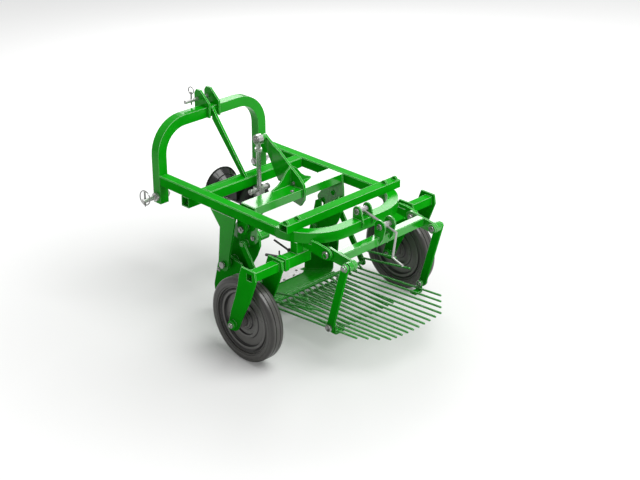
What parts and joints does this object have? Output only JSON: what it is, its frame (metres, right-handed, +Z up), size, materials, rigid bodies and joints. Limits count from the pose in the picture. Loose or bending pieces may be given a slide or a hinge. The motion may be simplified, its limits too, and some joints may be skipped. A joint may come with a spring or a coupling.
{
  "type": "potato harvester",
  "caption": "Tractor-mounted vibrating potato digger: share, shaken tine sieves, crank-driven rocker, hitch arch and adjustable trailing wheels.",
  "frame": {"origin": "on the ground, at the middle of the overall width and length", "axes": "+X to the machine's right, +Y forward to the tractor, +Z up"},
  "size_m": [1.19, 1.4066, 0.93],
  "materials": {
    "green_paint": "gloss",
    "zinc_steel": "satin",
    "polished_steel": "polished",
    "dark_cast": "satin",
    "rubber": "matt",
    "wheel_grey": "satin",
    "black_plastic": "matt"
  },
  "bodies": {
    "frame": {"hitch_arch": "green_paint", "top_hitch_pin": "zinc_steel", "mast_brace": "green_paint", "front_cross_beam": "green_paint", "bearing_beam": "green_paint", "drive_bearing": "dark_cast", "drive_guard": "black_plastic", "rear_beam": "green_paint", "bow_tube": "green_paint", "lower_hitch_pin_left": "zinc_steel", "lower_hitch_pin_right": "zinc_steel", "top_hitch_ear_left": "green_paint", "top_hitch_ear_right": "green_paint", "side_beam_left": "green_paint", "side_beam_right": "green_paint", "wheel_post_left": "green_paint", "wheel_post_right": "green_paint", "clamp_screw_left": "zinc_steel", "clamp_screw_right": "zinc_steel", "share_leg_left": "green_paint", "share_leg_right": "green_paint", "rocker_bracket_left": "green_paint", "rocker_bracket_right": "green_paint", "sieve_bracket_left": "green_paint", "sieve_bracket_right": "green_paint"},
    "wheel_stem_left": {"wheel_fork_left": "green_paint", "wheel_axle_left": "zinc_steel"},
    "wheel_stem_right": {"wheel_fork_right": "green_paint", "wheel_axle_right": "zinc_steel"},
    "wheel_left": {"tyre_left": "rubber", "wheel_disc_left": "wheel_grey"},
    "wheel_right": {"tyre_right": "rubber", "wheel_disc_right": "wheel_grey"},
    "drive_shaft": {"drive_shaft": "zinc_steel", "crank_disc": "dark_cast"},
    "rocker": {"rocker": "green_paint"},
    "connecting_rod": {"connecting_rod": "zinc_steel"},
    "front_shaker": {"share_carrier_left": "green_paint", "share_carrier_right": "green_paint", "share_beam": "green_paint", "share": "polished_steel", "chute": "green_paint", "front_sieve": "green_paint"},
    "rear_sieve": {"rear_sieve": "green_paint", "sieve_hanger_left": "green_paint", "sieve_hanger_right": "green_paint"},
    "rear_links": {"rear_link_left": "green_paint", "rear_link_right": "green_paint"},
    "sieve_frame": {"sieve_arm_left": "green_paint", "sieve_arm_right": "green_paint", "sieve_cross_tube": "green_paint", "adjusting_screw": "zinc_steel"}
  },
  "joints": [
    {"name": "wheel_left_spin", "type": "hinge", "parent": "wheel_stem_left", "child": "wheel_left", "pos_m": [-0.4975, -0.157, 0.199], "axis": [1, 0, 0], "continuous": true},
    {"name": "wheel_right_spin", "type": "hinge", "parent": "wheel_stem_right", "child": "wheel_right", "pos_m": [0.4975, -0.157, 0.199], "axis": [1, 0, 0], "continuous": true},
    {"name": "wheel_left_slide", "type": "slide", "parent": "frame", "child": "wheel_stem_left", "axis": [-1, 0, 0], "range_m": [-0.015, 0.06]},
    {"name": "wheel_right_slide", "type": "slide", "parent": "frame", "child": "wheel_stem_right", "axis": [1, 0, 0], "range_m": [-0.015, 0.06]},
    {"name": "drive_shaft_spin", "type": "hinge", "parent": "frame", "child": "drive_shaft", "pos_m": [0, 0.4325, 0.45], "axis": [0, 1, 0], "continuous": true},
    {"name": "rocker_swing", "type": "hinge", "parent": "frame", "child": "rocker", "pos_m": [0, 0.077, 0.488], "axis": [1, 0, 0], "range_deg": [-5.5, 5.5]},
    {"name": "connecting_rod_swing", "type": "hinge", "parent": "rocker", "child": "connecting_rod", "pos_m": [-0.02, 0.275, 0.785], "axis": [1, 0, 0], "range_deg": [-1, 1]},
    {"name": "front_shaker_swing", "type": "hinge", "parent": "frame", "child": "front_shaker", "pos_m": [0, 0.175, 0.288], "axis": [1, 0, 0], "range_deg": [-2, 2]},
    {"name": "rear_sieve_swing", "type": "hinge", "parent": "rocker", "child": "rear_sieve", "pos_m": [0, 0.08, 0.41], "axis": [1, 0, 0], "range_deg": [-6, 6]},
    {"name": "rear_links_swing", "type": "hinge", "parent": "rear_sieve", "child": "rear_links", "pos_m": [0, -0.474, 0.2], "axis": [1, 0, 0], "range_deg": [-2, 2]},
    {"name": "sieve_frame_tilt", "type": "hinge", "parent": "frame", "child": "sieve_frame", "pos_m": [0, -0.43, 0.528], "axis": [1, 0, 0], "range_deg": [-8, 8]}
  ],
  "couplings": [
    {"joint": "connecting_rod_swing", "follows": "rocker_swing", "ratio": -0.1134},
    {"joint": "front_shaker_swing", "follows": "rocker_swing", "ratio": -0.2579},
    {"joint": "rear_sieve_swing", "follows": "rocker_swing", "ratio": -1.0299},
    {"joint": "rear_links_swing", "follows": "rocker_swing", "ratio": 0.2576}
  ]
}
